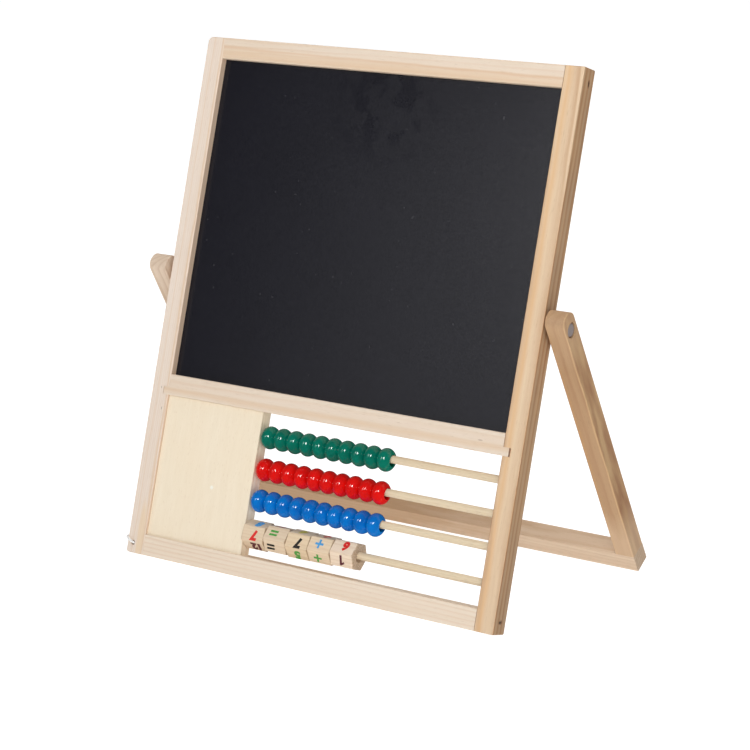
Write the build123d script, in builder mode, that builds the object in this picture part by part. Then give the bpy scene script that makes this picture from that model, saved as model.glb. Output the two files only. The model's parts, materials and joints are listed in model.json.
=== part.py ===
from build123d import *
import os
from math import cos, pi, radians, sin

# Table-top children's easel: a leaning board frame with a two-sided writing panel and a
# bead-and-number abacus below it, propped by a U-shaped stand that folds about two side pins.
#
# Row frame: +X to the right as seen from the front, +Y to the rear, +Z up, millimetres.
# Origin: floor level, centred under the whole easel.
#
# The board has its own plane: x across (0 at the middle), y up the board from its lower edge,
# z out of its front face. "height" below means y in that plane and "depth" means -z.

# ---------------------------------------------------------------- driving dimensions
board_width = 300.0
board_height = 368.0
board_lean = 17.0          # degrees that the board leans back
stock = 14.5               # thickness of the frame timber
stile_width = 14.5
rail_height = 14.7
middle_rail_base = 114.1   # height of the middle rail's lower edge
corner_radii = {-1: (2.0, 3.8), 1: (1.0, 0.9)}    # outer corners, lower and upper, of each stile
edge_round = 0.6
lug_length = 4.4           # lugs at the ends of the middle rail, let into the stiles' faces
lug_height = 5.7
lug_depth = 1.8
lug_gaps = {-1: 0.3, 1: 1.3}    # open end of each lug's notch, by side

chalk_recess = 5.2         # front edge of the frame to the chalk face
panel_thickness = 2.1      # each of the two writing panels
panel_tongue = 2.6         # how far a panel reaches into its grooves
groove_depth = 3.0
groove_play = 0.1

plywood_recess = 2.0
plywood_thickness = 2.6
plywood_tongue = 3.0
plywood_groove_depth = 3.2

abacus_left = 95.5 - board_width / 2    # right-hand face of the divider and of the plywood
divider_width = 12.0
divider_back = 11.8                     # depth of the divider's rear face

rod_radius = 2.65
rod_depth = 8.2
rod_socket = 6.0
rod_heights = {"green": 98.3, "red": 76.0, "blue": 54.4, "number": 30.9}

bead_radius = 8.0
bead_half_axis = 6.2       # half-length of the full ellipsoid along the rod
bead_thickness = 10.4      # after its two ends are cut flat
bead_hole_radius = 4.1
bead_drop = 1.1            # a bead hangs this far below its rod's axis
bead_pitch = 10.5
beads_per_row = 10

block_circumradius = 10.13
block_length = 18.05
block_pitch = 18.22
block_hole_radius = 3.9
block_drop = 0.9
block_edge = 0.35
block_turns = (-23.0, 0.0, -14.0, -8.0, 4.4)   # degrees, how each block happens to sit

stand_lean = 30.25         # degrees between a leg and the vertical
leg_width = 14.3
leg_gap = 2.7              # between a leg and the stile beside it
pivot_height = 200.4
leg_top = 12.6             # pivot to the leg's rounded top
leg_top_radius = 6.4
pin_radius = 2.0
pin_running_play = 0.05
pin_head_radius = 4.4
pin_head_thickness = 1.7
pin_head_round = 0.6
pin_length = 9.5           # how far a pin reaches into its stile
counterbore_radius = 5.3
counterbore_depth = 2.5
washer_radius = 3.2
washer_play = 0.1

dowel_radius = 1.8         # two dowels in each leg's foot, either side of the cord's hole
dowel_offset = 4.1
dowel_length = 24.0
dowel_in_bar = 10.0

# Brads from the stiles' outer faces into the rails: side, height, depth, section up the board and
# section through it. The bottom left one sits low, clear of the cord's hole.
brads = (
    (-1, 3.8, 7.1, 1.2, 2.2),
    (-1, 358.0, 8.2, 2.2, 1.2),
    (1, 8.2, 7.1, 1.2, 2.2),
    (1, 358.0, 8.2, 2.2, 1.2),
)
brad_length = 25.0         # from the stile's outer face to the brad's point
brad_sunk = 0.4            # its head below the stile's face
fastener_play = 0.02       # all round, so that fixed pieces touch without overlapping

cord_radius = 0.9
cord_bend = 1.8
cord_clearance = 0.4       # between the cord and the timber that it is looped round
cord_hole_radius = 1.7     # in the left stile
cord_hole_inset = 4.8      # from the stile's outer face
cord_hole_height = 7.1
loop_rise = 3.8            # the loop's strand outside the stile, above the hole
leg_hole_radius = 1.4      # in the left leg
leg_hole_rise = 8.0        # above the foot of the leg
leg_bend = 6.0             # where the cord turns into the leg's hole
leg_bend_proud = 4.0
cord_parting = 0.2         # in front of the leg, where its knotted end begins
knot_radius = 2.7
knot_shift = (-1.4, 0.8)   # the stile's knot from its hole: outwards, and up the board
knot_gap = 0.1

# ---------------------------------------------------------------- planes and derived places
lean_cos = cos(radians(board_lean))
lean_sin = sin(radians(board_lean))
leg_cos = cos(radians(stand_lean))
leg_sin = sin(radians(stand_lean))
board_edge_lift = edge_round * (lean_cos + lean_sin - 1)
bar_edge_lift = edge_round * (leg_cos + leg_sin - 1)

# The board's rear lower edge rests on the floor.
board_z = stock * lean_sin - board_edge_lift
pivot_z = board_z + pivot_height * lean_cos - stock / 2 * lean_sin
pivot_run = pivot_height * lean_sin + stock / 2 * lean_cos

# The cross bar's front lower edge rests on the floor too, which fixes the legs' length.
foot_reach = (pivot_z - leg_width / 2 * leg_sin + bar_edge_lift) / leg_cos
leg_length = foot_reach - leg_width
easel_depth = pivot_run + foot_reach * leg_sin + leg_width / 2 * leg_cos
board_y = -(easel_depth - bar_edge_lift + board_edge_lift) / 2
pivot_y = board_y + pivot_run

board_plane = Plane(origin=(0, board_y, board_z), x_dir=(1, 0, 0), z_dir=(0, -lean_cos, lean_sin))
up_board = Axis((0, 0, 0), (0, lean_sin, lean_cos))
out_of_board = Axis((0, 0, 0), (0, -lean_cos, lean_sin))
down_leg = Axis((0, 0, 0), (0, leg_sin, -leg_cos))
leg_front = Axis((0, 0, 0), (0, -leg_cos, -leg_sin))

half_width = board_width / 2
opening_half = half_width - stile_width
middle_rail_top = middle_rail_base + rail_height
top_rail_base = board_height - rail_height
leg_inner = half_width + leg_gap
leg_outer = leg_inner + leg_width
writing_groove = 2 * panel_thickness + 2 * groove_play
plywood_groove = plywood_thickness + 2 * groove_play


def board_point(x, height, depth):
    """A point of the row frame, from its place on the board."""
    return board_plane.from_local_coords((x, height, -depth))


def hanging(height, depth, drop):
    """Where the centre of a piece hangs that is threaded loosely on a rod."""
    return height - drop * lean_cos, depth + drop * lean_sin


def rod_plane(x, height, depth):
    """A plane square to the rods: local x out of the board, local y up the board."""
    return Plane(origin=board_point(x, height, depth), x_dir=out_of_board.direction, z_dir=(-1, 0, 0))


def leg_side(x):
    """The plane of a leg's side: local x out of its front face, local y down the leg."""
    return Plane(origin=(x, pivot_y, pivot_z), x_dir=(0, -leg_cos, -leg_sin), z_dir=(1, 0, 0))


def leg_point(x, reach, proud):
    """A point of the row frame, from its place along a leg and in front of its middle."""
    return leg_side(x).from_local_coords((proud, reach, 0))


os.makedirs("parts", exist_ok=True)


def save(part, name):
    part.label = name
    export_step(part, "parts/" + name + ".step")


# ---------------------------------------------------------------- board frame
def stile(side):
    """An upright of the board frame; side is -1 for the left one and 1 for the right one."""
    middle = side * (half_width - stile_width / 2)
    inner = side * opening_half
    outer = side * half_width
    notch_width = lug_length + lug_gaps[side]
    with BuildPart() as upright:
        with BuildSketch(board_plane) as outline:
            with Locations((middle, board_height / 2)):
                Rectangle(stile_width, board_height)
            for end, radius in zip((0, -1), corner_radii[side]):
                corner = outline.vertices().sort_by(Axis.X)[::side][-2:].sort_by(up_board)[end]
                fillet(corner, radius=radius)
        extrude(amount=-stock)
        front = upright.faces().sort_by(out_of_board)[-1]
        back = upright.faces().sort_by(out_of_board)[0]
        fillet(front.edges() + back.edges(), radius=edge_round)
        # groove for the two writing panels
        groove_base = middle_rail_top - groove_depth
        groove_top = top_rail_base + groove_depth
        with BuildSketch(board_plane.offset(groove_play - chalk_recess)):
            with Locations((inner + side * groove_depth / 2, (groove_base + groove_top) / 2)):
                Rectangle(groove_depth, groove_top - groove_base)
        extrude(amount=-writing_groove, mode=Mode.SUBTRACT)
        # notch for the lug on the end of the middle rail
        with BuildSketch(board_plane):
            with Locations((inner + side * notch_width / 2, middle_rail_base + lug_height / 2)):
                Rectangle(notch_width, lug_height + groove_play)
        extrude(amount=-lug_depth - groove_play, mode=Mode.SUBTRACT)
        # pin hole, reached from the outer face
        with BuildSketch(rod_plane(outer, pivot_height, stock / 2)):
            Circle(pin_radius + fastener_play)
        extrude(amount=side * pin_length, mode=Mode.SUBTRACT)
        # brad holes, through the stile into the rails
        for brad_side, height, depth, tall, thick in brads:
            if brad_side == side:
                with BuildSketch(rod_plane(outer, height, depth)):
                    Rectangle(thick + 2 * fastener_play, tall + 2 * fastener_play)
                extrude(amount=side * stile_width, mode=Mode.SUBTRACT)
        if side > 0:
            for height in rod_heights.values():
                with BuildSketch(rod_plane(inner, height, rod_depth)):
                    Circle(rod_radius + fastener_play)
                extrude(amount=-rod_socket, mode=Mode.SUBTRACT)
        else:
            # groove for the plywood, and the hole that the check cord is tied through
            low = rail_height - plywood_groove_depth
            high = middle_rail_base + plywood_groove_depth
            with BuildSketch(board_plane.offset(groove_play - plywood_recess)):
                with Locations((inner - plywood_groove_depth / 2, (low + high) / 2)):
                    Rectangle(plywood_groove_depth, high - low)
            extrude(amount=-plywood_groove, mode=Mode.SUBTRACT)
            with BuildSketch(board_plane):
                with Locations((cord_hole_inset - half_width, cord_hole_height)):
                    Circle(cord_hole_radius)
            extrude(amount=-stock, mode=Mode.SUBTRACT)
    return upright.part


def rail(base):
    """A cross member of the board frame, butted between the stiles, before its grooves."""
    with BuildPart() as member:
        with BuildSketch(board_plane):
            with Locations((0, base + rail_height / 2)):
                Rectangle(2 * opening_half, rail_height)
        extrude(amount=-stock)
        fillet(member.edges().filter_by(Axis.X), radius=edge_round)
    return member.part


def rail_groove(right, base, top, depth, width):
    """The space of a panel groove that runs along a rail from its left end to right."""
    with BuildPart() as groove:
        with BuildSketch(board_plane.offset(-depth)):
            with Locations(((right - opening_half) / 2, (base + top) / 2)):
                Rectangle(right + opening_half, top - base)
        extrude(amount=-width)
    return groove.part


def writing_space(base, top):
    return rail_groove(opening_half, base, top, chalk_recess - groove_play, writing_groove)


def plywood_space(base, top):
    return rail_groove(abacus_left + groove_play, base, top, plywood_recess - groove_play, plywood_groove)


def driven(start, length, play):
    """The four brads, or the spaces for them, from start inwards."""
    with BuildPart() as all_four:
        for side, height, depth, tall, thick in brads:
            with BuildSketch(rod_plane(side * start, height, depth)):
                Rectangle(thick + 2 * play, tall + 2 * play)
            extrude(amount=side * length)
    return all_four.part


save(stile(-1), "left_stile")
save(stile(1), "right_stile")

rail_brad_spaces = driven(opening_half, brad_length - stile_width + fastener_play, fastener_play)

with BuildPart() as top_rail:
    add(rail(top_rail_base))
    add(writing_space(top_rail_base, top_rail_base + groove_depth), mode=Mode.SUBTRACT)
    add(rail_brad_spaces, mode=Mode.SUBTRACT)
save(top_rail.part, "top_rail")

with BuildPart() as middle_rail:
    add(rail(middle_rail_base))
    add(writing_space(middle_rail_top - groove_depth, middle_rail_top), mode=Mode.SUBTRACT)
    add(plywood_space(middle_rail_base, middle_rail_base + plywood_groove_depth), mode=Mode.SUBTRACT)
    for side in (-1, 1):
        with BuildSketch(board_plane):
            with Locations((side * (opening_half + lug_length / 2), middle_rail_base + lug_height / 2)):
                Rectangle(lug_length, lug_height)
        extrude(amount=-lug_depth)
save(middle_rail.part, "middle_rail")

with BuildPart() as bottom_rail:
    add(rail(0))
    add(plywood_space(rail_height - plywood_groove_depth, rail_height), mode=Mode.SUBTRACT)
    add(rail_brad_spaces, mode=Mode.SUBTRACT)
save(bottom_rail.part, "bottom_rail")

# Slim brads driven through the stiles into the ends of the top and bottom rails.
save(driven(half_width - brad_sunk, brad_length - brad_sunk, 0), "frame_brads")

# ---------------------------------------------------------------- panels
# Two thin hardboard panels stand back to back in one groove: black in front, white behind.
panel_width = 2 * (opening_half + panel_tongue)
panel_base = middle_rail_top - panel_tongue
panel_height = top_rail_base + panel_tongue - panel_base


def writing_panel(front_depth):
    with BuildPart() as panel:
        with BuildSketch(board_plane.offset(-front_depth)):
            with Locations((0, panel_base + panel_height / 2)):
                Rectangle(panel_width, panel_height)
        extrude(amount=-panel_thickness)
    return panel.part


save(writing_panel(chalk_recess), "chalkboard")
save(writing_panel(chalk_recess + panel_thickness), "whiteboard")

plywood_left = -opening_half - plywood_tongue
plywood_base = rail_height - plywood_tongue
plywood_top = middle_rail_base + plywood_tongue
with BuildPart() as plywood_panel:
    with BuildSketch(board_plane.offset(-plywood_recess)):
        with Locations(((plywood_left + abacus_left) / 2, (plywood_base + plywood_top) / 2)):
            Rectangle(abacus_left - plywood_left, plywood_top - plywood_base)
    extrude(amount=-plywood_thickness)
save(plywood_panel.part, "plywood_panel")

# The divider stands behind the plywood's free edge and holds the rods' left-hand ends.
plywood_back = plywood_recess + plywood_thickness
divider_length = middle_rail_base - rail_height
with BuildPart() as divider:
    with BuildSketch(board_plane.offset(-plywood_back)):
        with Locations((abacus_left - divider_width / 2, rail_height + divider_length / 2)):
            Rectangle(divider_width, divider_length)
    extrude(amount=plywood_back - divider_back)
    for height in rod_heights.values():
        with BuildSketch(rod_plane(abacus_left, height, rod_depth)):
            Circle(rod_radius + fastener_play)
        extrude(amount=rod_socket, mode=Mode.SUBTRACT)
save(divider.part, "divider")

# ---------------------------------------------------------------- abacus
for colour, height in rod_heights.items():
    with BuildPart() as rod:
        with BuildSketch(rod_plane(opening_half + rod_socket, height, rod_depth)):
            Circle(rod_radius)
        extrude(amount=opening_half - abacus_left + 2 * rod_socket)
    save(rod.part, colour + "_rod")


def bead(x, height, depth):
    """An oblate bead with flat ends, drilled along the rod."""
    across = Plane(origin=board_point(x, height, depth), x_dir=(1, 0, 0), z_dir=out_of_board.direction)
    with BuildPart() as turned:
        with BuildSketch(across):
            Ellipse(bead_half_axis, bead_radius)
            Rectangle(bead_thickness, 2 * bead_radius, mode=Mode.INTERSECT)
            Rectangle(bead_thickness, 2 * bead_hole_radius, mode=Mode.SUBTRACT)
            with Locations((0, -bead_radius / 2)):
                Rectangle(2 * bead_thickness, bead_radius, mode=Mode.SUBTRACT)
        revolve(axis=Axis(across.origin, across.x_dir))
    return turned.part


for colour in ("green", "red", "blue"):
    centre_height, centre_depth = hanging(rod_heights[colour], rod_depth, bead_drop)
    for index in range(beads_per_row):
        centre_x = abacus_left + bead_pitch / 2 + index * bead_pitch
        name = f"{colour}_bead_{index + 1:02d}"
        save(bead(centre_x, centre_height, centre_depth), name)

block_height, block_depth = hanging(rod_heights["number"], rod_depth, block_drop)
for index, turn in enumerate(block_turns):
    block_left = abacus_left + block_pitch - block_length + index * block_pitch
    with BuildPart() as block:
        with BuildSketch(rod_plane(block_left + block_length, block_height, block_depth)):
            RegularPolygon(block_circumradius, 6, rotation=turn)
        extrude(amount=block_length)
        chamfer(block.edges(), length=block_edge)
        with BuildSketch(rod_plane(block_left + block_length, block_height, block_depth)):
            Circle(block_hole_radius)
        extrude(amount=block_length, mode=Mode.SUBTRACT)
    save(block.part, f"number_block_{index + 1}")

# ---------------------------------------------------------------- folding stand
def leg_foot(side):
    """The plane between a leg and the cross bar, facing up the leg."""
    return Plane(origin=leg_point(side * (leg_inner + leg_width / 2), leg_length, 0),
                 x_dir=(1, 0, 0), z_dir=-down_leg.direction)


leg_hole_x = -leg_inner - leg_width / 2
leg_hole_reach = leg_length - leg_hole_rise


def leg_hole_plane(proud):
    """A plane square to the left leg's cord hole, facing forwards out of the leg."""
    return Plane(origin=leg_point(leg_hole_x, leg_hole_reach, proud),
                 x_dir=(1, 0, 0), z_dir=leg_front.direction)


def leg(side):
    """A leg of the stand, outside the stile on that side; it stands on the cross bar."""
    with BuildPart() as prop:
        with BuildSketch(leg_side(side * leg_inner)) as outline:
            with Locations((0, (leg_length - leg_top) / 2)):
                Rectangle(leg_width, leg_length + leg_top)
            fillet(outline.vertices().sort_by(Axis.Y)[:2], radius=leg_top_radius)
        extrude(amount=side * leg_width)
        sides = prop.faces().sort_by(Axis.X)
        foot = prop.faces().sort_by(down_leg)[-1].edges()
        rims = sides[0].edges() + sides[-1].edges()
        fillet([edge for edge in rims if edge not in foot], radius=edge_round)
        with BuildSketch(leg_side(side * leg_inner)):
            Circle(pin_radius + pin_running_play)
        extrude(amount=side * leg_width, mode=Mode.SUBTRACT)
        with BuildSketch(leg_side(side * leg_outer)):
            Circle(counterbore_radius)
        extrude(amount=-side * counterbore_depth, mode=Mode.SUBTRACT)
        with BuildSketch(leg_foot(side)):
            with Locations((-dowel_offset, 0), (dowel_offset, 0)):
                Circle(dowel_radius + fastener_play)
        extrude(amount=dowel_length - dowel_in_bar + fastener_play, mode=Mode.SUBTRACT)
        if side < 0:
            with BuildSketch(leg_hole_plane(leg_width / 2)):
                Circle(leg_hole_radius)
            extrude(amount=-leg_width, mode=Mode.SUBTRACT)
    return prop.part


save(leg(-1), "left_leg")
save(leg(1), "right_leg")

with BuildPart() as cross_bar:
    with BuildSketch(leg_side(-leg_outer)):
        with Locations((0, leg_length + leg_width / 2)):
            Rectangle(leg_width, leg_width)
    extrude(amount=2 * leg_outer)
    fillet(cross_bar.edges().filter_by(Axis.X), radius=edge_round)
    for side in (-1, 1):
        with BuildSketch(leg_foot(side)):
            with Locations((-dowel_offset, 0), (dowel_offset, 0)):
                Circle(dowel_radius + fastener_play)
        extrude(amount=-dowel_in_bar - fastener_play, mode=Mode.SUBTRACT)
save(cross_bar.part, "cross_bar")

# Glued dowels hold the legs to the cross bar.
with BuildPart() as leg_dowels:
    for side in (-1, 1):
        with BuildSketch(leg_foot(side).offset(-dowel_in_bar)):
            with Locations((-dowel_offset, 0), (dowel_offset, 0)):
                Circle(dowel_radius)
        extrude(amount=dowel_length)
save(leg_dowels.part, "leg_dowels")

# ---------------------------------------------------------------- pivots
# Each pin is fast in its stile and its leg turns on it; a washer spaces the two apart.
head_base = leg_outer - counterbore_depth + washer_play
with BuildPart() as pivot_pins:
    for side in (-1, 1):
        with BuildSketch(leg_side(side * head_base)):
            Circle(pin_head_radius)
        extrude(amount=side * pin_head_thickness)
    rims = [pivot_pins.faces().sort_by(Axis.X)[end].edges() for end in (0, -1)]
    fillet(rims[0] + rims[1], radius=pin_head_round)
    for side in (-1, 1):
        with BuildSketch(leg_side(side * head_base)):
            Circle(pin_radius)
        extrude(amount=-side * (head_base - half_width + pin_length - fastener_play))
save(pivot_pins.part, "pivot_pins")

with BuildPart() as pivot_washers:
    for side in (-1, 1):
        with BuildSketch(leg_side(side * (half_width + washer_play))):
            Circle(washer_radius)
            Circle(pin_radius + pin_running_play, mode=Mode.SUBTRACT)
        extrude(amount=side * (leg_gap - 2 * washer_play))
save(pivot_washers.part, "pivot_washers")

# ---------------------------------------------------------------- check cord
# The cord is tied through the hole near the left stile's foot, round the stile's outer edge,
# and runs taut to the left leg's foot, where it is knotted behind the leg.
def swept_cord(points, bends):
    with BuildPart() as strand:
        with BuildLine():
            route = FilletPolyline(*points, radius=bends)
        with BuildSketch(Plane(origin=route @ 0, z_dir=route % 0)):
            Circle(cord_radius)
        sweep(path=route)
    section = pi * cord_radius ** 2
    print("cord radius", cord_radius, "length", round(route.length, 1),
          "volume", round(strand.part.volume, 1), "section x length", round(section * route.length, 1))
    return strand.part


def knot(centre):
    with BuildPart() as lumps:
        with Locations(centre):
            Sphere(knot_radius)
    return lumps.part


cord_x = cord_hole_inset - half_width
wrap = cord_radius + cord_clearance
strand_height = cord_hole_height + loop_rise
knot_depth = stock + knot_radius + knot_gap
knot_x = cord_x + knot_shift[0]
knot_height = cord_hole_height + knot_shift[1]
loop_points = [
    board_point(cord_x, cord_hole_height, knot_depth),
    board_point(cord_x, cord_hole_height, -wrap),
    board_point(-half_width - wrap, strand_height, -wrap),
    board_point(-half_width - wrap, strand_height, stock + wrap),
    board_point(knot_x, knot_height, stock + wrap),
]
save(swept_cord(loop_points, [cord_bend] * 3), "cord_loop")
save(knot(board_point(knot_x, knot_height, knot_depth)), "stile_knot")

check_points = [
    board_point(knot_x, knot_height, knot_depth),
    leg_hole_plane(leg_width / 2 + leg_bend_proud).origin,
    leg_hole_plane(leg_width / 2 + cord_parting + knot_gap).origin,
]
save(swept_cord(check_points, [leg_bend]), "check_cord")

with BuildPart() as leg_knot:
    with BuildSketch(leg_hole_plane(leg_width / 2 + cord_parting)):
        Circle(cord_radius)
    extrude(amount=-cord_parting - leg_width - knot_radius)
    with Locations(leg_hole_plane(-leg_width / 2 - knot_radius - knot_gap).origin):
        Sphere(knot_radius)
save(leg_knot.part, "leg_knot")

print("leg", round(leg_length, 2), "depth", round(easel_depth, 2))
print("pivot", round(pivot_y, 3), round(pivot_z, 3), "board", round(board_y, 3), round(board_z, 3))
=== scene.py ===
import json
from math import atan2, cos, degrees, pi, radians, sin

import bpy
from mathutils import Matrix, Vector


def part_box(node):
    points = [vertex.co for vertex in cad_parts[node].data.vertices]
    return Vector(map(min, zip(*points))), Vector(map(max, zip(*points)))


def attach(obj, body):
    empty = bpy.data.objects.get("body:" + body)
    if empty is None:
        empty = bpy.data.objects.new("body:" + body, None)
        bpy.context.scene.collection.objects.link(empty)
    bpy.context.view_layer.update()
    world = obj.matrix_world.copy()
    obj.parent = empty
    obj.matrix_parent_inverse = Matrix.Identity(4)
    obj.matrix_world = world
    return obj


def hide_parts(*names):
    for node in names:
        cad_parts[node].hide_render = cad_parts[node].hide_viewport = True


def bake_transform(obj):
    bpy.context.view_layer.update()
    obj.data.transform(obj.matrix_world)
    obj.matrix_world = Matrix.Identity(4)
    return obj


# Looks of a table-top children's easel with an abacus.
# Row frame: +X to the right as seen from the front, +Y to the rear, +Z up, metres.

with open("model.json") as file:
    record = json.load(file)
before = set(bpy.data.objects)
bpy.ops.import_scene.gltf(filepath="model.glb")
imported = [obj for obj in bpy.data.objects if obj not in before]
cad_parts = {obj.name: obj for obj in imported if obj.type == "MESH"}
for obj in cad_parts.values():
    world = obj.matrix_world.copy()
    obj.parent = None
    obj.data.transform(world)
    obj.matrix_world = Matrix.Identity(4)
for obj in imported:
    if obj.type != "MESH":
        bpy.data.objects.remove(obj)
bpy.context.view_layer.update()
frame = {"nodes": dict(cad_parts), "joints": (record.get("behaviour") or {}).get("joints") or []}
nodes = frame["nodes"]
joints = {joint["name"]: joint for joint in frame["joints"]}

# ---------------------------------------------------------------- the easel's own directions
BOARD_LEAN = radians(17)
STAND_LEAN = radians(30.25)
BOARD_WIDTH = 0.300
STOCK = 0.0145             # thickness of the frame timber
PIVOT_HEIGHT = 0.2004      # of the stand's pivot, up the board from its lower edge
LEG_WIDTH = 0.0143
LEG_GAP = 0.0027
LEG_LENGTH = 0.20592       # from the pivot to the cross bar

across = Vector((1, 0, 0))
board_up = Vector((0, sin(BOARD_LEAN), cos(BOARD_LEAN)))
board_front = Vector((0, -cos(BOARD_LEAN), sin(BOARD_LEAN)))
leg_down = Vector((0, sin(STAND_LEAN), -cos(STAND_LEAN)))
leg_front = Vector((0, -cos(STAND_LEAN), -sin(STAND_LEAN)))
pivot = Vector(joints["stand_fold"]["pos_m"])


def board_point(x, height, depth):
    """A point from its place on the board: height up the front face, depth behind it."""
    return pivot + across * x + board_up * (height - PIVOT_HEIGHT) - board_front * (depth - STOCK / 2)


def leg_point(x, reach, proud):
    """A point from its place along a leg, and in front of the leg's middle."""
    return pivot + across * x + leg_down * reach + leg_front * proud


# ---------------------------------------------------------------- camera
CAMERA_AIM = Vector((-0.01559, 0.02442, 0.12661))
CAMERA_DISTANCE = 1.650
CAMERA_AZIMUTH = radians(33.164)     # to the right of straight ahead
CAMERA_ELEVATION = radians(14.852)
FOCAL_LENGTH = 112.7                 # mm
SENSOR_WIDTH = 36.0                  # mm


def stand_round(name, data, azimuth, elevation, distance):
    """A camera or lamp that looks at the easel from this azimuth (to the right) and elevation."""
    item = bpy.data.objects.new(name, data)
    towards = Vector((sin(azimuth) * cos(elevation), -cos(azimuth) * cos(elevation), sin(elevation)))
    item.location = CAMERA_AIM + towards * distance
    item.rotation_euler = towards.to_track_quat("Z", "Y").to_euler()
    bpy.context.collection.objects.link(item)
    return item


def make_camera():
    data = bpy.data.cameras.new("camera")
    data.lens = FOCAL_LENGTH
    data.sensor_width = SENSOR_WIDTH
    camera = stand_round("camera", data, CAMERA_AZIMUTH, CAMERA_ELEVATION, CAMERA_DISTANCE)
    bpy.context.scene.camera = camera


# ---------------------------------------------------------------- check cord
CORD_RADIUS = 0.0009
STRAND_COUNT = 3
STRAND_LAY = 0.0052        # cord length for one full turn of a strand
STRAND_SEGMENT = 0.00045
TUBE_SIDES = 8
SPLINE_ORDER = 3
SPLINE_STEPS = 24          # straight pieces between two control points
KNOT_RADIUS = 0.0027
KNOT_TUCK = 0.8            # of the cord's radius that a knot's strands sink into one another
KNOT_DEPTH = 1.9           # of a knot's wraps, against their size in its own plane
KNOT_STEPS = 96

CORD_STANDOFF = 0.0013     # from the timber to the cord's axis
KNOT_STANDOFF = 0.0028     # from the timber to the middle of a knot
BEND_STANDOFF = 0.0040     # from the leg to the bend where the cord turns into its hole
CHECK_END = 0.0003         # the taut run ends this far in front of the leg
LEG_START = 0.0002         # and the leg's own end of the cord starts this far in front

cord_x = 0.0048 - BOARD_WIDTH / 2          # hole in the left stile
cord_height = 0.0071
strand_x = cord_x + 0.0008                 # strand inside that hole, against its inner wall
strand_height = cord_height - 0.0001
outside_x = -BOARD_WIDTH / 2 - CORD_STANDOFF
outside_height = 0.0109                    # of the strand on the stile's outer side
knot_x = cord_x - 0.0014
knot_height = cord_height + 0.0008
in_front = -CORD_STANDOFF
behind = STOCK + CORD_STANDOFF
stile_knot = board_point(knot_x, knot_height, STOCK + KNOT_STANDOFF)
leg_hole_x = -BOARD_WIDTH / 2 - LEG_GAP - LEG_WIDTH / 2
leg_hole_reach = LEG_LENGTH - 0.008
leg_knot = leg_point(leg_hole_x, leg_hole_reach, -LEG_WIDTH / 2 - KNOT_STANDOFF)

# out of the knot, forwards through the hole, round the stile's outer edge and back to the knot
LOOP_ROUTE = [
    board_point(cord_x, cord_height, STOCK + KNOT_STANDOFF),
    board_point(strand_x, strand_height, 0.0054),
    board_point(strand_x, strand_height, in_front),
    *(board_point(outside_x, outside_height, depth) for depth in (in_front, 0.0054, 0.0107, behind)),
    board_point(knot_x, knot_height, behind),
]
# from the knot, taut to the mouth of the hole in the left leg
CHECK_ROUTE = [
    stile_knot,
    leg_point(leg_hole_x, leg_hole_reach, LEG_WIDTH / 2 + BEND_STANDOFF),
    leg_point(leg_hole_x, leg_hole_reach, LEG_WIDTH / 2 + CHECK_END),
]
# from just in front of the leg, through it and into the knot behind it
LEG_ROUTE = [
    leg_point(leg_hole_x, leg_hole_reach, LEG_WIDTH / 2 + LEG_START),
    leg_knot,
]


def smooth_line(points):
    """Points along the smooth spline that has these control points."""
    curve = bpy.data.curves.new("route", "CURVE")
    curve.dimensions = "3D"
    curve.resolution_u = SPLINE_STEPS
    spline = curve.splines.new("NURBS")
    spline.points.add(len(points) - 1)
    for spot, point in zip(spline.points, points):
        spot.co = (*point, 1)
    spline.order_u = min(SPLINE_ORDER, len(points))
    spline.use_endpoint_u = True
    route = bpy.data.objects.new("route", curve)
    mesh = bpy.data.meshes.new_from_object(route)
    line = [vertex.co.copy() for vertex in mesh.vertices]
    bpy.data.objects.remove(route)
    bpy.data.curves.remove(curve)
    bpy.data.meshes.remove(mesh)
    return line


def evenly(line, step):
    """The same line with its points one step apart."""
    spaced = [line[0]]
    carried = 0.0
    for start, end in zip(line, line[1:]):
        run = (end - start).length
        while carried + run >= step:
            start = start + (end - start) * ((step - carried) / run)
            run = (end - start).length
            spaced.append(start.copy())
            carried = 0.0
        carried += run
    if (spaced[-1] - line[-1]).length > step / 3:
        spaced.append(line[-1])
    return spaced


def carried_frames(line):
    """Two directions square to the line at each of its points, carried along without twisting."""
    frames = []
    side = (line[1] - line[0]).orthogonal().normalized()
    for index in range(len(line)):
        ahead = line[min(index + 1, len(line) - 1)] - line[max(index - 1, 0)]
        ahead.normalize()
        side = (side - ahead * side.dot(ahead)).normalized()
        frames.append((side.copy(), ahead.cross(side)))
    return frames


def tube(verts, faces, line, radius):
    """Add a closed tube along line to the lists of vertices and faces."""
    start = len(verts)
    for point, (u, v) in zip(line, carried_frames(line)):
        for k in range(TUBE_SIDES):
            turn = 2 * pi * k / TUBE_SIDES
            verts.append(point + (u * cos(turn) + v * sin(turn)) * radius)
    for ring in range(len(line) - 1):
        for k in range(TUBE_SIDES):
            ahead = (k + 1) % TUBE_SIDES
            low = start + ring * TUBE_SIDES
            high = low + TUBE_SIDES
            faces.append((low + k, low + ahead, high + ahead, high + k))
    last = start + (len(line) - 1) * TUBE_SIDES
    faces.append(tuple(start + k for k in reversed(range(TUBE_SIDES))))
    faces.append(tuple(last + k for k in range(TUBE_SIDES)))


def laid_cord(name, line):
    """A cord of twisted strands along line."""
    line = evenly(line, STRAND_SEGMENT)
    strand = CORD_RADIUS / (1 + 1 / sin(pi / STRAND_COUNT))
    offset = CORD_RADIUS - strand
    verts, faces = [], []
    carried = carried_frames(line)
    for count in range(STRAND_COUNT):
        helix = []
        for index, (point, (u, v)) in enumerate(zip(line, carried)):
            turn = 2 * pi * (index * STRAND_SEGMENT / STRAND_LAY + count / STRAND_COUNT)
            helix.append(point + (u * cos(turn) + v * sin(turn)) * offset)
        tube(verts, faces, helix, strand)
    return mesh_piece(name, verts, faces, cord_white)


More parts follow.
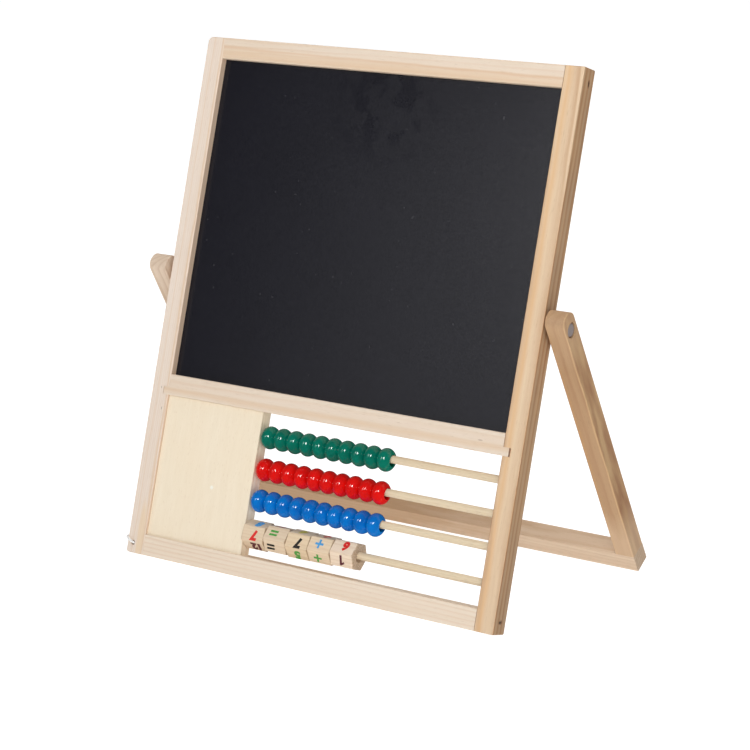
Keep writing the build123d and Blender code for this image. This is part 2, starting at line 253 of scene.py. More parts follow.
def mesh_piece(name, verts, faces, material):
    mesh = bpy.data.meshes.new(name)
    mesh.from_pydata([tuple(v) for v in verts], [], faces)
    mesh.update()
    mesh.shade_smooth()
    mesh.materials.append(material)
    piece = bpy.data.objects.new(name, mesh)
    bpy.context.collection.objects.link(piece)
    return piece


def knot_line(centre, facing):
    """A trefoil round centre, the shape of a simple overhand knot pulled tight."""
    u = facing.orthogonal().normalized()
    v = facing.cross(u)
    size = (KNOT_RADIUS - CORD_RADIUS * KNOT_TUCK) / 3
    line = []
    for index in range(KNOT_STEPS + 1):
        t = 2 * pi * index / KNOT_STEPS
        line.append(centre + u * size * (sin(t) + 2 * sin(2 * t)) + v * size * (cos(t) - 2 * cos(2 * t))
                    - facing * size * KNOT_DEPTH * sin(3 * t))
    return line


def make_cord():
    loop_line = smooth_line(LOOP_ROUTE)
    loop = laid_cord("cord_loop_strands", loop_line)
    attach(loop, "board")
    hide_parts("cord_loop")

    knot = laid_cord("stile_knot_strands", knot_line(stile_knot, board_up))
    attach(knot, "board")
    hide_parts("stile_knot")

    check_line = smooth_line(CHECK_ROUTE)
    check = laid_cord("check_cord_strands", check_line)
    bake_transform(check)
    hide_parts("check_cord")

    leg_line = smooth_line(LEG_ROUTE)
    end = laid_cord("leg_cord_end", leg_line)
    tie = laid_cord("leg_knot_strands", knot_line(leg_knot, leg_front))
    for piece in (end, tie):
        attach(piece, "stand")
    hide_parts("leg_knot")


# ---------------------------------------------------------------- shader nodes
class Shader:
    """One material's node tree, with short forms for the nodes that the materials here use."""

    def __init__(self, name, **settings):
        self.material = bpy.data.materials.new(name)
        self.material.use_nodes = True
        self.tree = self.material.node_tree
        self.surface = self.tree.nodes["Principled BSDF"]
        for socket, value in settings.items():
            self.surface.inputs[socket_name(socket)].default_value = value

    def add(self, kind, inputs=(), **settings):
        node = self.tree.nodes.new("ShaderNode" + kind)
        for key, value in settings.items():
            setattr(node, key, value)
        for socket, value in dict(inputs).items():
            self.feed(node.inputs[socket], value)
        return node

    def feed(self, socket, value):
        if isinstance(value, bpy.types.NodeSocket):
            self.tree.links.new(value, socket)
        else:
            socket.default_value = value

    def math(self, operation, *values, clamp=False):
        return self.add("Math", enumerate(values), operation=operation, use_clamp=clamp).outputs[0]

    def vector_math(self, operation, vector, other=None):
        inputs = {0: vector}
        if other is not None:
            inputs[1] = tuple(other)
        return self.add("VectorMath", inputs, operation=operation).outputs

    def minus(self, vector, other):
        return self.vector_math("SUBTRACT", vector, other)["Vector"]

    def distance(self, vector, other):
        return self.vector_math("DISTANCE", vector, other)["Value"]

    def length(self, x, y, z):
        return self.vector_math("LENGTH", self.point(x, y, z))["Value"]

    def dot(self, vector, direction):
        return self.vector_math("DOT_PRODUCT", vector, direction)["Value"]

    def parts(self, vector, *directions):
        """How far the vector reaches along each direction."""
        return [self.dot(vector, direction) for direction in directions]

    def point(self, x, y, z):
        return self.add("CombineXYZ", {0: x, 1: y, 2: z}).outputs[0]

    def place(self):
        return self.add("TexCoord").outputs["Object"]

    def normal(self):
        return self.add("TexCoord").outputs["Normal"]

    def noise(self, vector, scale=1.0, detail=2.0, roughness=0.5):
        return self.add("TexNoise", {"Vector": vector, "Scale": scale, "Detail": detail,
                                     "Roughness": roughness}).outputs["Fac"]

    def stretched(self, parts, scales, **settings):
        """Noise drawn out along the grain: each part of a place has its own scale."""
        scaled = [self.math("MULTIPLY", part, scale) for part, scale in zip(parts, scales)]
        return self.noise(self.point(*scaled), **settings)

    def spread(self, value, low, high, to_low=0.0, to_high=1.0):
        return self.add("MapRange", {"Value": value, "From Min": low, "From Max": high,
                                     "To Min": to_low, "To Max": to_high}).outputs["Result"]

    def ramp(self, value, *stops):
        """A ramp through (place, grey) stops."""
        ramp = self.add("ValToRGB", {"Fac": value})
        while len(ramp.color_ramp.elements) < len(stops):
            ramp.color_ramp.elements.new(0.5)
        for element, (spot, grey) in zip(ramp.color_ramp.elements, stops):
            element.position = spot
            element.color = (grey, grey, grey, 1)
        return ramp.outputs["Color"]

    def mix(self, factor, a, b):
        node = self.add("Mix", data_type="RGBA")
        self.feed(node.inputs[0], factor)
        self.feed(node.inputs[6], colour(a))
        self.feed(node.inputs[7], colour(b))
        return node.outputs[2]

    def bump(self, height, strength, distance):
        return self.add("Bump", {"Height": height, "Strength": strength,
                                 "Distance": distance}).outputs["Normal"]

    def finish(self, **links):
        for socket, value in links.items():
            self.feed(self.surface.inputs[socket_name(socket)], value)
        return self.material


def socket_name(key):
    """The Principled BSDF's input that a keyword means."""
    return key.replace("_", " ").title().replace("Ior", "IOR")


def colour(value):
    """A plain colour with its alpha, or anything else unchanged."""
    return (*value, 1) if isinstance(value, (tuple, list)) and len(value) == 3 else value


# ---------------------------------------------------------------- wood
WAVER = 0.0011             # fine unevenness of every ring
LINE_WAVER = 0.0009        # the same, of the single lines
MARK_WAVER = 0.25          # of a mark's outline, against its size


def wood(name, node, along, face, light, dark, pith, ring_gap, contrast=1.0, drift=0.5, slope=0.0,
         wander=0.0045, side_contrast=1.0, side_tone=0.0, side_shade=None, end_tone=0.4, lines=(), marks=()):
    """Sawn timber, with its grain along one direction and its wide side facing another.

    The rings run round a pith at pith = (out of face, sideways) from the piece's middle, ring_gap
    apart. contrast is how far their late wood goes from light to dark, drift how much broad bands
    warm the timber, slope how fast the rings climb along the piece, and wander how far they stray.
    On the sawn sides the rings are side_contrast times as strong, and side_tone of side_shade
    (or of dark) is mixed in; end_tone is how much the end grain darkens.
    lines are single rings or bands: (sideways place, its change along the piece, half-width,
    strength, colour). marks are knots, scars and patches of painted light or shade: (point, half-length,
    half-width, strength, colour).
    """
    low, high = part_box(node)
    sideways = along.cross(face)
    shader = Shader(name, specular_ior_level=0.30)
    a, b, c = shader.parts(shader.minus(shader.place(), (low + high) / 2), along, face, sideways)

    def grain(length_scale, cross_scale, **settings):
        return shader.stretched((a, b, c), (length_scale, cross_scale, cross_scale), **settings)

    # growth rings
    drifting = grain(7.0, 30.0)
    wavering = grain(26.0, 170.0, detail=3.0)
    shift = shader.math("ADD", shader.math("MULTIPLY", drifting, 2 * wander),
                        shader.math("MULTIPLY", wavering, WAVER))
    radius = shader.length(shader.math("SUBTRACT", b, pith[0]), shader.math("SUBTRACT", c, pith[1]), 0.0)
    radius = shader.math("ADD", radius, shader.math("ADD", shift, shader.math("MULTIPLY", a, slope)))
    ring = shader.math("FRACT", shader.math("DIVIDE", radius, ring_gap))
    late = shader.ramp(ring, (0.0, 0.10), (0.22, 0.0), (0.55, 0.25), (0.80, 1.0), (0.90, 0.85), (1.0, 0.10))
    strength = shader.spread(grain(9.0, 60.0), 0.32, 0.66, 0.40 * contrast, 1.0 * contrast)
    turned = shader.math("ABSOLUTE", shader.dot(shader.normal(), sideways))
    strength = shader.math("MULTIPLY", strength, shader.spread(turned, 0.2, 0.9, 1.0, side_contrast))
    late = shader.math("MULTIPLY", late, strength, clamp=True)

    # long fibres, and broad bands of warmer timber
    fibre = grain(35.0, 950.0, detail=4.0, roughness=0.65)
    band = shader.spread(grain(6.0, 110.0), 0.42, 0.68, 0.0, drift)
    tone = shader.mix(late, light, dark)
    tone = shader.mix(band, tone, tuple(0.62 * l + 0.38 * d for l, d in zip(light, dark)))
    tone = shader.mix(shader.spread(fibre, 0.30, 0.72, 0.15, 0.0), tone, dark)
    tone = shader.mix(shader.spread(turned, 0.3, 0.9, 0.0, side_tone), tone, side_shade or dark)
    pore = shader.spread(grain(160.0, 2600.0, detail=1.0), 0.64, 0.76, 0.0, 0.30)
    tone = shader.mix(pore, tone, tuple(d * 0.62 for d in dark))

    for offset, climb, half_width, depth, shade in lines:
        aside = shader.math("ADD", shader.math("SUBTRACT", c, offset), shader.math("MULTIPLY", a, -climb))
        aside = shader.math("ADD", aside, shader.spread(wavering, 0.2, 0.8, -LINE_WAVER, LINE_WAVER))
        amount = shader.spread(shader.math("ABSOLUTE", aside), 0.0, half_width, depth, 0.0)
        tone = shader.mix(amount, tone, shade)
    for point, half_length, half_width, depth, shade in marks:
        away = shader.parts(shader.minus(shader.place(), point), along, sideways, face)
        sizes = (half_length, half_width, half_width)
        reach = shader.length(*(shader.math("DIVIDE", part, size) for part, size in zip(away, sizes)))
        reach = shader.math("ADD", reach, shader.spread(wavering, 0.2, 0.8, -MARK_WAVER, MARK_WAVER))
        tone = shader.mix(shader.spread(reach, 0.55, 1.0, depth, 0.0), tone, shade)

    # end grain is darker, and shows short specks in place of fibres
    end = shader.spread(shader.math("ABSOLUTE", shader.dot(shader.normal(), along)), 0.12, 0.6)
    speck = shader.noise(shader.place(), scale=900.0, detail=2.0, roughness=0.7)
    amount = shader.math("MULTIPLY", end, shader.spread(speck, 0.35, 0.7, 0.4 * end_tone, end_tone))
    tone = shader.mix(amount, tone, tuple(d * 0.55 for d in dark))
    rough = shader.spread(fibre, 0.3, 0.7, 0.62, 0.50)
    height = shader.math("ADD", shader.math("MULTIPLY", fibre, 0.7), shader.math("MULTIPLY", late, 0.5))
    return shader.finish(base_color=tone, roughness=rough, normal=shader.bump(height, 0.30, 0.00012))


def dress(node, material):
    """Give a CAD node this material on all its slots."""
    for slot in nodes[node].material_slots:
        slot.material = material


def dress_wood(node, kind, along, face, tones, **looks):
    dress(node, wood(f"{node}_{kind}", node, along, face, *tones, **looks))


# Timber colours: early wood, then the late wood of its rings.
PALE = ((0.85, 0.74, 0.645), (0.68, 0.47, 0.31))
PALE_RAIL = ((0.81, 0.69, 0.57), (0.67, 0.45, 0.27))
LOW_RAIL = ((0.85, 0.73, 0.60), (0.68, 0.46, 0.285))
WARM = ((0.80, 0.62, 0.425), (0.44, 0.20, 0.080))
TAN = ((0.51, 0.325, 0.180), (0.36, 0.17, 0.080))
PALE_TAN = ((0.70, 0.55, 0.42), (0.47, 0.29, 0.165))
BAR_TAN = ((0.70, 0.545, 0.40), (0.47, 0.27, 0.14))
CREAM = ((0.93, 0.81, 0.64), (0.68, 0.48, 0.30))
ROD = ((0.80, 0.67, 0.48), (0.62, 0.44, 0.26))
BLOCK = ((0.82, 0.665, 0.485), (0.62, 0.39, 0.21))
ORANGE = (0.66, 0.36, 0.15)
SOFT_ORANGE = (0.73, 0.50, 0.30)
STRAW = (0.80, 0.58, 0.33)
HONEY = (0.74, 0.47, 0.25)
DEEP_HONEY = (0.70, 0.44, 0.22)
AMBER = (0.64, 0.38, 0.18)
GREY_SAWN = (0.25, 0.14, 0.078)        # the right stile's rough-sawn side
RED_BROWN = (0.20, 0.060, 0.018)
# painted shade: dark red-brown for the inside of the gap at the end of the middle rail's lug
PAINTED_SLOT_SHADE = (0.42, 0.14, 0.035)
DARK_KNOT = (0.11, 0.045, 0.022)

# How each number block's timber departs from BLOCK: (paleness, warmth)
BLOCK_TONES = ((0.97, 0.0), (0.98, -0.1), (1.0, 0.5), (1.02, 0.1), (1.11, -0.8))
WARMTH = (0.0, 0.02, 0.07)             # what one unit of warmth takes from red, green and blue


def dress_frame():
    dress_wood("left_stile", "pine", board_up, board_front, PALE,
               pith=(-0.012, 0.060), ring_gap=0.0016, contrast=0.32, drift=0.30, wander=0.002, side_tone=0.7,
               lines=((0.0056, 0.0, 0.0013, 0.65, SOFT_ORANGE),
                      (-0.0020, 0.003, 0.0010, 0.30, SOFT_ORANGE)),
               marks=((board_point(-0.1422, 0.1186, 0.0), 0.0012, 0.0004, 0.5, DARK_KNOT),
                      (board_point(-0.1393, 0.1041, 0.0), 0.0012, 0.0004, 0.5, DARK_KNOT),
                      (board_point(-0.1400, 0.012, 0.0), 0.030, 0.0032, 0.5, STRAW)))
    # the first mark below paints shade into the gap at the end of the middle rail's lug
    lug_slot = board_point(0.14055, 0.11695, 0.0012)
    brad_top = board_point(0.150, 0.358, 0.0082)
    brad_low = board_point(0.150, 0.0082, 0.0071)
    dress_wood("right_stile", "pine", board_up, board_front, WARM,
               pith=(-0.046, -0.020), ring_gap=0.0042, contrast=0.60, drift=0.35, slope=0.006,
               wander=0.0026, side_contrast=4.0, side_tone=0.62, side_shade=GREY_SAWN,
               lines=((-0.0034, 0.0, 0.0034, 0.85, HONEY),
                      (0.0092, 0.0, 0.0030, 0.80, AMBER),
                      (-0.0078, 0.006, 0.0012, 0.35, DEEP_HONEY)),
               marks=((lug_slot, 0.0040, 0.0014, 1.0, PAINTED_SLOT_SHADE),
                      (brad_top, 0.0035, 0.0014, 0.85, DARK_KNOT),
                      (brad_low, 0.0016, 0.0026, 0.6, DARK_KNOT)))
    dress_wood("top_rail", "pine", across, board_front, PALE_RAIL,
               pith=(-0.015, 0.075), ring_gap=0.0040, contrast=0.35, drift=0.45, wander=0.002,
               lines=((0.0006, 0.009, 0.0014, 0.38, ORANGE),
                      (0.0052, 0.006, 0.0060, 0.55, SOFT_ORANGE)))
    dress_wood("middle_rail", "pine", across, board_front, PALE_RAIL,
               pith=(-0.018, 0.060), ring_gap=0.0052, contrast=0.35, drift=0.45, wander=0.003,
               lines=((0.0034, -0.004, 0.0028, 0.40, SOFT_ORANGE),),
               marks=((board_point(0.118, 0.1215, 0.0), 0.0022, 0.0006, 0.35, RED_BROWN),))
    dress_wood("bottom_rail", "pine", across, board_front, LOW_RAIL,
               pith=(-0.015, 0.070), ring_gap=0.0029, contrast=0.45, drift=0.35, slope=0.004, wander=0.002)
    dress_wood("divider", "pine", board_up, across, CREAM,
               pith=(-0.05, 0.03), ring_gap=0.0030, contrast=0.5, drift=0.3)


def dress_stand():
    dress_wood("left_leg", "pine", leg_down, leg_front, PALE_TAN,
               pith=(-0.025, 0.025), ring_gap=0.0040, contrast=0.65, drift=0.3, end_tone=0.06,
               # the mark is painted light: a paler patch at the leg's top, where light from above falls on
               # it
               marks=((leg_point(-0.158, -0.006, 0.0), 0.024, 0.030, 0.24, (0.88, 0.75, 0.62)),))
    dress_wood("right_leg", "pine", leg_down, leg_front, TAN,
               pith=(-0.020, 0.045), ring_gap=0.0062, contrast=0.45, drift=0.4, wander=0.002,
               side_tone=0.80, end_tone=0.22,
               lines=((-0.0066, 0.0, 0.0010, 0.60, (0.72, 0.50, 0.26)),
                      (0.0062, 0.0, 0.0022, 0.45, (0.56, 0.31, 0.13))),
               # both marks are painted light: paler patches at the leg's top and foot, lit while the middle
               # lies in the board's shadow
               marks=((leg_point(0.158, 0.208, 0.0), 0.045, 0.030, 0.50, (0.70, 0.50, 0.33)),
                      (leg_point(0.158, -0.004, 0.0), 0.034, 0.030, 0.32, (0.64, 0.43, 0.26))))
    dress_wood("cross_bar", "pine", across, leg_front, BAR_TAN,
               pith=(-0.02, 0.05), ring_gap=0.0030, contrast=0.40, drift=0.55, slope=0.01, end_tone=0.35,
               # painted shadow: the mark darkens the left part of the bar, where the board's shadow falls on
               # it
               marks=((leg_point(-0.12, 0.205, 0.0), 0.21, 0.045, 0.66, (0.44, 0.25, 0.12)),))
    dress("leg_dowels", wood("dowel_beech", "leg_dowels", leg_down, leg_front, *ROD,
                             pith=(0.03, 0.02), ring_gap=0.0020))


def dress_abacus_wood():
    for index, row in enumerate(("green", "red", "blue", "number")):
        dress_wood(row + "_rod", "birch", across, board_front, ROD,
                   pith=(0.006 + 0.002 * index, -0.004 * index), ring_gap=0.0013,
                   contrast=0.45, drift=0.4, end_tone=0.2)
    for index, (paleness, warmth) in enumerate(BLOCK_TONES):
        light = tuple(paleness * l - warmth * w for l, w in zip(BLOCK[0], WARMTH))
        dress_wood(f"number_block_{index + 1}", "wood", across, board_front, (light, BLOCK[1]),
                   pith=(0.020 - 0.008 * index, 0.022), ring_gap=0.0020 + 0.0005 * (index % 3),
                   contrast=0.42, drift=0.35, wander=0.003, end_tone=0.85)


# ---------------------------------------------------------------- plywood
PLY_PAIR = 0.0017          # thickness of a light ply and a dark one


def plywood():
    shader = Shader("birch_plywood", specular_ior_level=0.3)
    low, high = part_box("plywood_panel")
    place = shader.parts(shader.minus(shader.place(), (low + high) / 2), board_up, across, board_front)
    grain = shader.stretched(place, (45.0, 420.0, 420.0), detail=4.0, roughness=0.6)
    cloud = shader.stretched(place, (14.0, 40.0, 1.0), detail=2.0)
    tone = shader.mix(shader.spread(grain, 0.3, 0.7), (0.885, 0.765, 0.585), (0.925, 0.81, 0.635))
    tone = shader.mix(shader.spread(cloud, 0.35, 0.7, 0.0, 0.35), tone, (0.89, 0.74, 0.54))
    dash = shader.stretched(place, (300.0, 1500.0, 1500.0), detail=0.0)
    tone = shader.mix(shader.spread(dash, 0.70, 0.80, 0.0, 0.22), tone, (0.60, 0.42, 0.26))
    # a small patch of lighter filler
    dot = shader.distance(shader.place(), board_point(-0.0872, 0.0562, 0.002))
    tone = shader.mix(shader.spread(dot, 0.0008, 0.0017, 0.9, 0.0), tone, (0.97, 0.94, 0.84))
    # the plies show on the edges
    ply = shader.math("FRACT", shader.math("DIVIDE", shader.math("ADD", place[2], 0.1), PLY_PAIR))
    edge = shader.math("SUBTRACT", 1.0, shader.math("ABSOLUTE", shader.dot(shader.normal(), board_front)))
    dark_ply = shader.math("MULTIPLY", shader.math("GREATER_THAN", ply, 0.55), edge, clamp=True)
    tone = shader.mix(shader.math("MULTIPLY", dark_ply, 0.45), tone, (0.56, 0.38, 0.22))
    rough = shader.spread(grain, 0.3, 0.7, 0.60, 0.48)
    return shader.finish(base_color=tone, roughness=rough, normal=shader.bump(grain, 0.25, 0.00010))


# ---------------------------------------------------------------- panels
def chalk_paint():
    shader = Shader("chalkboard_paint")
    place = shader.place()
    grit = shader.noise(place, scale=1100.0, detail=3.0, roughness=0.7)
    cloud = shader.noise(place, scale=14.0, detail=3.0)
    tone = shader.mix(shader.spread(grit, 0.30, 0.72), (0.0026, 0.0026, 0.0053), (0.0077, 0.0074, 0.0138))
    tone = shader.mix(shader.spread(cloud, 0.4, 0.7, 0.0, 0.25), tone, (0.0098, 0.0098, 0.0160))
    # a few fine specks of dust
    dust = shader.noise(place, scale=420.0, detail=0.0)
    tone = shader.mix(shader.spread(dust, 0.862, 0.885, 0.0, 0.20), tone, (0.16, 0.16, 0.17))
    # a patch near the top where something was wiped off, less shiny than the rest
    away = shader.distance(place, board_point(0.004, 0.333, 0.004))
    wiped = shader.spread(shader.noise(place, scale=75.0, detail=3.0), 0.47, 0.56)
    wiped = shader.math("MULTIPLY", wiped, shader.spread(away, 0.022, 0.050, 0.10, 0.0))
    gloss = shader.math("SUBTRACT", shader.spread(grit, 0.32, 0.68, 0.24, 0.42), wiped)
    rough = shader.spread(grit, 0.3, 0.7, 0.20, 0.25)
    return shader.finish(base_color=tone, roughness=rough, specular_ior_level=gloss,
                         normal=shader.bump(grit, 0.35, 0.00012))


def dry_wipe_coat():
    shader = Shader("dry_wipe_coat", specular_ior_level=0.5, coat_weight=0.4, coat_roughness=0.06)
    place = shader.place()
    waves = shader.noise(place, scale=70.0, detail=2.0)
    smear = shader.stretched((*shader.parts(place, across, board_up), 0.0), (18.0, 6.0, 1.0), detail=4.0)
    tone = shader.mix(shader.spread(smear, 0.45, 0.8, 0.0, 0.35), (0.86, 0.87, 0.88), (0.80, 0.81, 0.82))
    rough = shader.spread(smear, 0.3, 0.7, 0.16, 0.26)
    return shader.finish(base_color=tone, roughness=rough, normal=shader.bump(waves, 0.05, 0.0004))


# ---------------------------------------------------------------- beads
BEADS_PER_ROW = 10
LACQUERS = {
    "green": ((0.000, 0.175, 0.115), (0.000, 0.135, 0.090)),
    "red": ((0.780, 0.006, 0.004), (0.640, 0.004, 0.003)),
    "blue": ((0.000, 0.185, 0.620), (0.000, 0.130, 0.500)),
}


def lacquer(name, tone, deep):
    """Glossy paint on turned wood: grain barely telegraphs through, and it pools darker in places."""
    shader = Shader(name, specular_ior_level=0.50)
    place = shader.place()
    grain = shader.stretched(shader.parts(place, across, board_up, board_front), (260.0, 900.0, 900.0),
                             detail=3.0)
    pool = shader.noise(place, scale=120.0, detail=1.0)
    shade = shader.mix(shader.spread(pool, 0.35, 0.7), tone, deep)
    shade = shader.mix(shader.spread(grain, 0.55, 0.75, 0.0, 0.35), shade, deep)
    rough = shader.spread(grain, 0.3, 0.7, 0.07, 0.12)
    peel = shader.math("ADD", shader.math("MULTIPLY", grain, 0.5), pool)
    return shader.finish(base_color=shade, roughness=rough, normal=shader.bump(peel, 0.02, 0.00020))


def dress_beads():
    for row, (tone, deep) in LACQUERS.items():
        paint = lacquer(row + "_lacquer", tone, deep)
        for count in range(1, BEADS_PER_ROW + 1):
            dress(f"{row}_bead_{count:02d}", paint)


# ---------------------------------------------------------------- small parts
def plain_steel(name, tone, metallic, rough, scale):
    shader = Shader(name, metallic=metallic)
    scratches = shader.noise(shader.place(), scale=scale, detail=5.0, roughness=0.7)
    shade = shader.mix(shader.spread(scratches, 0.3, 0.7), tuple(t * 0.78 for t in tone), tone)
    rough = shader.spread(scratches, 0.3, 0.7, rough - 0.08, rough + 0.1)
    return shader.finish(base_color=shade, roughness=rough, normal=shader.bump(scratches, 0.2, 0.00008))


def nylon():
    shader = Shader("washer_nylon", specular_ior_level=0.45)
    cloud = shader.noise(shader.place(), scale=400.0, detail=3.0)
    tone = shader.mix(cloud, (0.50, 0.45, 0.38), (0.60, 0.55, 0.47))
    return shader.finish(base_color=tone, roughness=shader.spread(cloud, 0.3, 0.7, 0.36, 0.48),
                         normal=shader.bump(cloud, 0.1, 0.0001))


def cord_fibre():
    shader = Shader("cord_white", specular_ior_level=0.3, sheen_weight=0.3, sheen_roughness=0.5)
    fluff = shader.noise(shader.place(), scale=4200.0, detail=3.0, roughness=0.7)
    cloud = shader.noise(shader.place(), scale=160.0, detail=2.0)
    tone = shader.mix(shader.spread(fluff, 0.3, 0.7), (0.82, 0.815, 0.80), (0.96, 0.955, 0.94))
    tone = shader.mix(shader.spread(cloud, 0.4, 0.7, 0.0, 0.3), tone, (0.78, 0.75, 0.69))
    return shader.finish(base_color=tone, roughness=shader.spread(fluff, 0.3, 0.7, 0.70, 0.85),
                         normal=shader.bump(fluff, 0.5, 0.0001))


def print_ink(name, tone):
    """Ink printed on bare wood, a little worn where the grain stands up."""
    shader = Shader("ink_" + name, specular_ior_level=0.4)
    place = shader.parts(shader.place(), across, board_up, board_front)
    worn = shader.stretched(place, (500.0, 2400.0, 2400.0), detail=3.0)
    pale = tuple(0.72 * t + 0.28 * w for t, w in zip(tone, (0.80, 0.64, 0.46)))
    shade = shader.mix(shader.spread(worn, 0.58, 0.80, 0.0, 0.6), tone, pale)
    return shader.finish(base_color=shade, roughness=shader.spread(worn, 0.3, 0.7, 0.42, 0.58),
                         normal=shader.bump(worn, 0.15, 0.0001))


INKS = {
    "red": (0.72, 0.012, 0.010),
    "black": (0.012, 0.010, 0.009),
    "green": (0.075, 0.36, 0.055),
    "sky": (0.075, 0.36, 0.72),
    "maroon": (0.13, 0.018, 0.030),
    "yellow": (0.62, 0.50, 0.05),
}

# Figures printed round each block, from the lower front face upwards: what it says, its ink and how
# far it stands right of and above the face's middle, in mm. The blocks are threaded upside down, so
# every figure stands on its head.
FIGURES = {
    "number_block_1": (("12", "maroon", 1.9, -0.6), ("7", "red", 0.7, -0.9), ("8", "sky", 1.3, -0.7),
                       ("3", "green", 0.6, 0.0), ("10", "black", 1.0, 0.2), ("5", "yellow", 0.4, -0.4)),
    "number_block_2": (("=", "black", -3.0, -0.9), ("=", "green", -2.0, 0.0), ("=", "red", -1.6, 0.3),
                       ("=", "sky", -2.2, 0.2), ("=", "yellow", -2.5, -0.3), ("=", "maroon", -1.9, 0.1)),
    "number_block_3": (("5", "green", 0.3, -1.1), ("7", "black", 0.7, -1.1), ("4", "yellow", 0.0, 0.2),
                       ("2", "red", 0.5, 0.4), ("9", "sky", 0.2, -0.2), ("11", "maroon", 0.4, -0.5)),
    "number_block_4": (("+", "green", -1.1, -0.7), ("+", "sky", -0.6, 0.5), ("+", "red", 0.0, 0.9),
                       ("-", "black", -0.4, 0.2), ("-", "maroon", -0.7, -0.2), ("-", "yellow", -0.9, 0.1)),
    "number_block_5": (("1", "maroon", 0.6, -0.1), ("6", "red", 1.4, 0.9), ("3", "black", 0.9, 0.3),
                       ("8", "green", 1.1, 0.0), ("4", "sky", 0.8, -0.4), ("0", "yellow", 1.2, 0.2)),
}
SIGNS = "+=-"
FIGURE_HEIGHT = 0.0076
FIGURE_WIDEST = 0.0112
SIGN_WIDTH = 0.0066
FIGURE_BOLD = 0.00075          # added all round each stroke of a figure
SIGN_BOLD = 0.00022            # and of a sign
FIGURE_SLANT = 0.09
FIGURE_SPACING = 0.95
FIGURE_LIFT = 0.00006          # of the flat ink above the wood
CAPITAL_SHARE = 0.7            # a capital's height against the font's size
CURVE_STEPS = 6
FACE_TOLERANCE = 0.02          # how far a long face's normal may lean towards the block's ends
LOWEST_FACE = -60              # degrees above straight out of the board, where the count of faces starts
ONE_OUTLINE = ((-0.03, -0.5), (0.20, -0.5), (0.24, 0.5), (0.06, 0.5),
               (-0.24, 0.30), (-0.22, 0.12), (0.00, 0.24))       # in figure heights


def side_faces(node):
    """The normal and middle of a block's six long faces, from the lower front face upwards."""
    mesh = nodes[node].data
    low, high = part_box(node)
    centre = (low + high) / 2
    areas = {}        # by angle above straight out of the board
    for polygon in mesh.polygons:
        if abs(polygon.normal.x) < FACE_TOLERANCE:
            angle = degrees(atan2(polygon.normal.dot(board_up), polygon.normal.dot(board_front)))
            areas[round(angle, 1)] = areas.get(round(angle, 1), 0.0) + polygon.area
    faces = []
    for angle in sorted(areas, key=areas.get)[-6:]:
        normal = board_front * cos(radians(angle)) + board_up * sin(radians(angle))
        reach = max((vertex.co - centre).dot(normal) for vertex in mesh.vertices)
        faces.append(((angle - LOWEST_FACE) % 360, normal, centre + normal * reach))
    return [(normal, middle) for turn, normal, middle in sorted(faces, key=lambda face: face[0])]


def one_mesh(name):
    """A figure 1 with a flag, as a flat mesh centred on its own middle."""
    mesh = bpy.data.meshes.new(name)
    mesh.from_pydata([(FIGURE_HEIGHT * x, FIGURE_HEIGHT * y, 0.0) for x, y in ONE_OUTLINE], [],
                     [tuple(range(len(ONE_OUTLINE)))])
    return mesh


def letter_mesh(name, text):
    """The text as a flat mesh, centred on its own middle."""
    if text == "1":
        return one_mesh(name)
    curve = bpy.data.curves.new(name, "FONT")
    curve.body = text
    curve.size = FIGURE_HEIGHT / CAPITAL_SHARE
    curve.shear = FIGURE_SLANT
    curve.offset = SIGN_BOLD if text in SIGNS else FIGURE_BOLD
    curve.space_character = FIGURE_SPACING
    curve.resolution_u = CURVE_STEPS
    written = bpy.data.objects.new(name, curve)
    mesh = bpy.data.meshes.new_from_object(written)
    bpy.data.objects.remove(written)
    bpy.data.curves.remove(curve)
    mesh.name = name
    xs = [v.co.x for v in mesh.vertices]
    ys = [v.co.y for v in mesh.vertices]
    width = max(xs) - min(xs)
    height = max(ys) - min(ys)
    if text in SIGNS:
        scale = (SIGN_WIDTH / width, SIGN_WIDTH / width)
    else:
        scale = (min(FIGURE_HEIGHT / height, FIGURE_WIDEST / width), FIGURE_HEIGHT / height)
    mesh.transform(Matrix.Translation((-(max(xs) + min(xs)) / 2, -(max(ys) + min(ys)) / 2, 0)))
    mesh.transform(Matrix.Diagonal((*scale, 1, 1)))
    return mesh


def make_figure(name, text, ink, shift, normal, middle, body):
    """Print the text, upside down, shift millimetres right of and above the middle of a block's face."""
    mesh = letter_mesh(name, text)
    up = board_up * normal.dot(board_front) - board_front * normal.dot(board_up)
    turned = Matrix((-across, -up, normal)).transposed().to_4x4()
    turned.translation = (middle + across * shift[0] / 1000 + up * shift[1] / 1000
                          + normal * FIGURE_LIFT)
    mesh.transform(turned)
    mesh.materials.clear()
    mesh.materials.append(ink)
    piece = bpy.data.objects.new(name, mesh)
    bpy.context.collection.objects.link(piece)
    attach(piece, body)


def make_figures():
    inks = {name: print_ink(name, tone) for name, tone in INKS.items()}
    for block, figures in FIGURES.items():
        for index, (face, (text, ink, *shift)) in enumerate(zip(side_faces(block), figures)):
            make_figure(f"{block}_figure_{index + 1}", text, inks[ink], shift, *face, block)


# ---------------------------------------------------------------- studio
FLOOR_HALF = 8.0
WORLD_LIGHT = 0.09         # how brightly the world lights the easel
WORLD_SEEN = 1.0           # and how bright it is to the camera
FLOOR_GLOW = 0.98

# Name, azimuth and elevation in degrees, distance, width, height, watts, and whether the light shows
# only as a reflection (the windows and the sheen) or only as light on the surfaces (the others).
LIGHTS = (
    ("window_left", -13, 27, 1.9, 0.20, 0.50, 5.0, True),
    ("window_right", 25, 27, 1.9, 0.42, 0.52, 20.0, True),
    ("sheen", -25, 17, 2.2, 0.77, 0.9, 2.1, True),
    ("softbox", 27, 35, 2.3, 2.2, 1.5, 33.5, False),
    ("overhead", 180, 80, 1.9, 1.4, 1.4, 18.0, False),
    ("fill_rear", 195, 40, 2.2, 1.4, 1.4, 8.0, False),
)


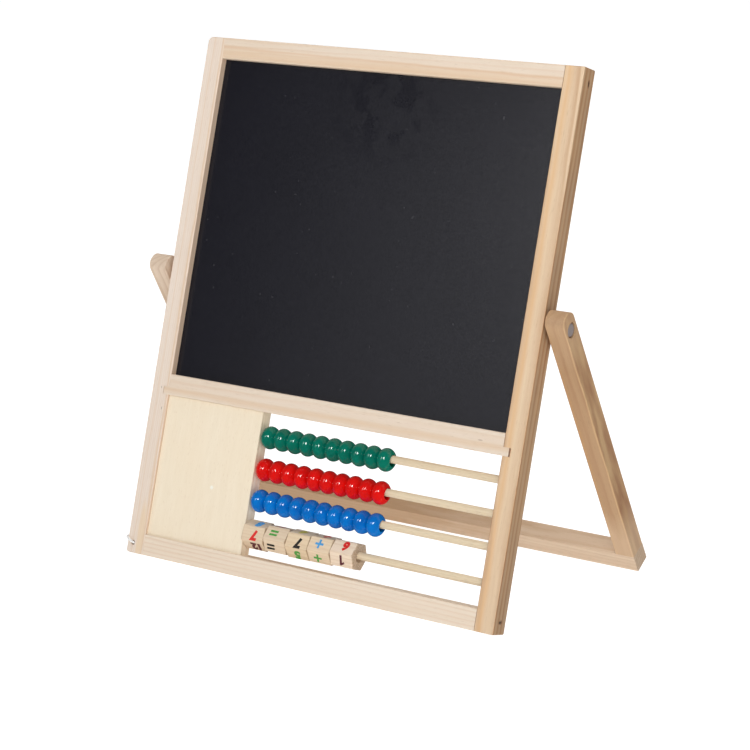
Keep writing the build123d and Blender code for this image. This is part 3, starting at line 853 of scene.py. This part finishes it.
def pale_floor():
    shader = Shader("studio_floor", roughness=0.9, specular_ior_level=0.0,
                    emission_color=(1, 1, 1, 1), emission_strength=FLOOR_GLOW)
    mottle = shader.noise(shader.place(), scale=3.0)
    return shader.finish(base_color=shader.mix(mottle, (0.26, 0.26, 0.26), (0.28, 0.28, 0.28)))


def make_floor():
    corners = [(x * FLOOR_HALF, y * FLOOR_HALF, 0) for x, y in ((-1, -1), (1, -1), (1, 1), (-1, 1))]
    floor = mesh_piece("studio_floor", corners, [(0, 1, 2, 3)], pale_floor())
    floor.visible_glossy = False


def make_world():
    world = bpy.data.worlds.new("studio")
    bpy.context.scene.world = world
    world.use_nodes = True
    tree = world.node_tree
    backdrop = tree.nodes["Background"]
    backdrop.inputs["Color"].default_value = (1.0, 1.0, 1.0, 1)
    strength = tree.nodes.new("ShaderNodeMapRange")
    strength.inputs["To Min"].default_value = WORLD_LIGHT
    strength.inputs["To Max"].default_value = WORLD_SEEN
    seen = tree.nodes.new("ShaderNodeLightPath").outputs["Is Camera Ray"]
    tree.links.new(seen, strength.inputs["Value"])
    tree.links.new(strength.outputs["Result"], backdrop.inputs["Strength"])


def make_lights():
    for name, azimuth, elevation, distance, width, height, power, reflected in LIGHTS:
        data = bpy.data.lights.new(name, "AREA")
        data.shape = "RECTANGLE"
        data.size = width
        data.size_y = height
        data.energy = power
        lamp = stand_round(name, data, radians(azimuth), radians(elevation), distance)
        lamp.visible_glossy = reflected
        lamp.visible_diffuse = not reflected


def make_studio():
    make_floor()
    make_world()
    make_lights()
    view = bpy.context.scene.view_settings
    view.view_transform = "Standard"
    view.look = "None"


# ---------------------------------------------------------------- making it
make_camera()
cord_white = cord_fibre()
make_cord()
dress_frame()
dress_stand()
dress_abacus_wood()
dress("plywood_panel", plywood())
dress("chalkboard", chalk_paint())
dress("whiteboard", dry_wipe_coat())
dress_beads()
dress("pivot_pins", plain_steel("zinc_steel", (0.43, 0.365, 0.355), 0.25, 0.50, 1500.0))
dress("pivot_washers", nylon())
dress("frame_brads", plain_steel("brad_steel", (0.14, 0.11, 0.09), 0.5, 0.5, 2500.0))
make_figures()
make_studio()
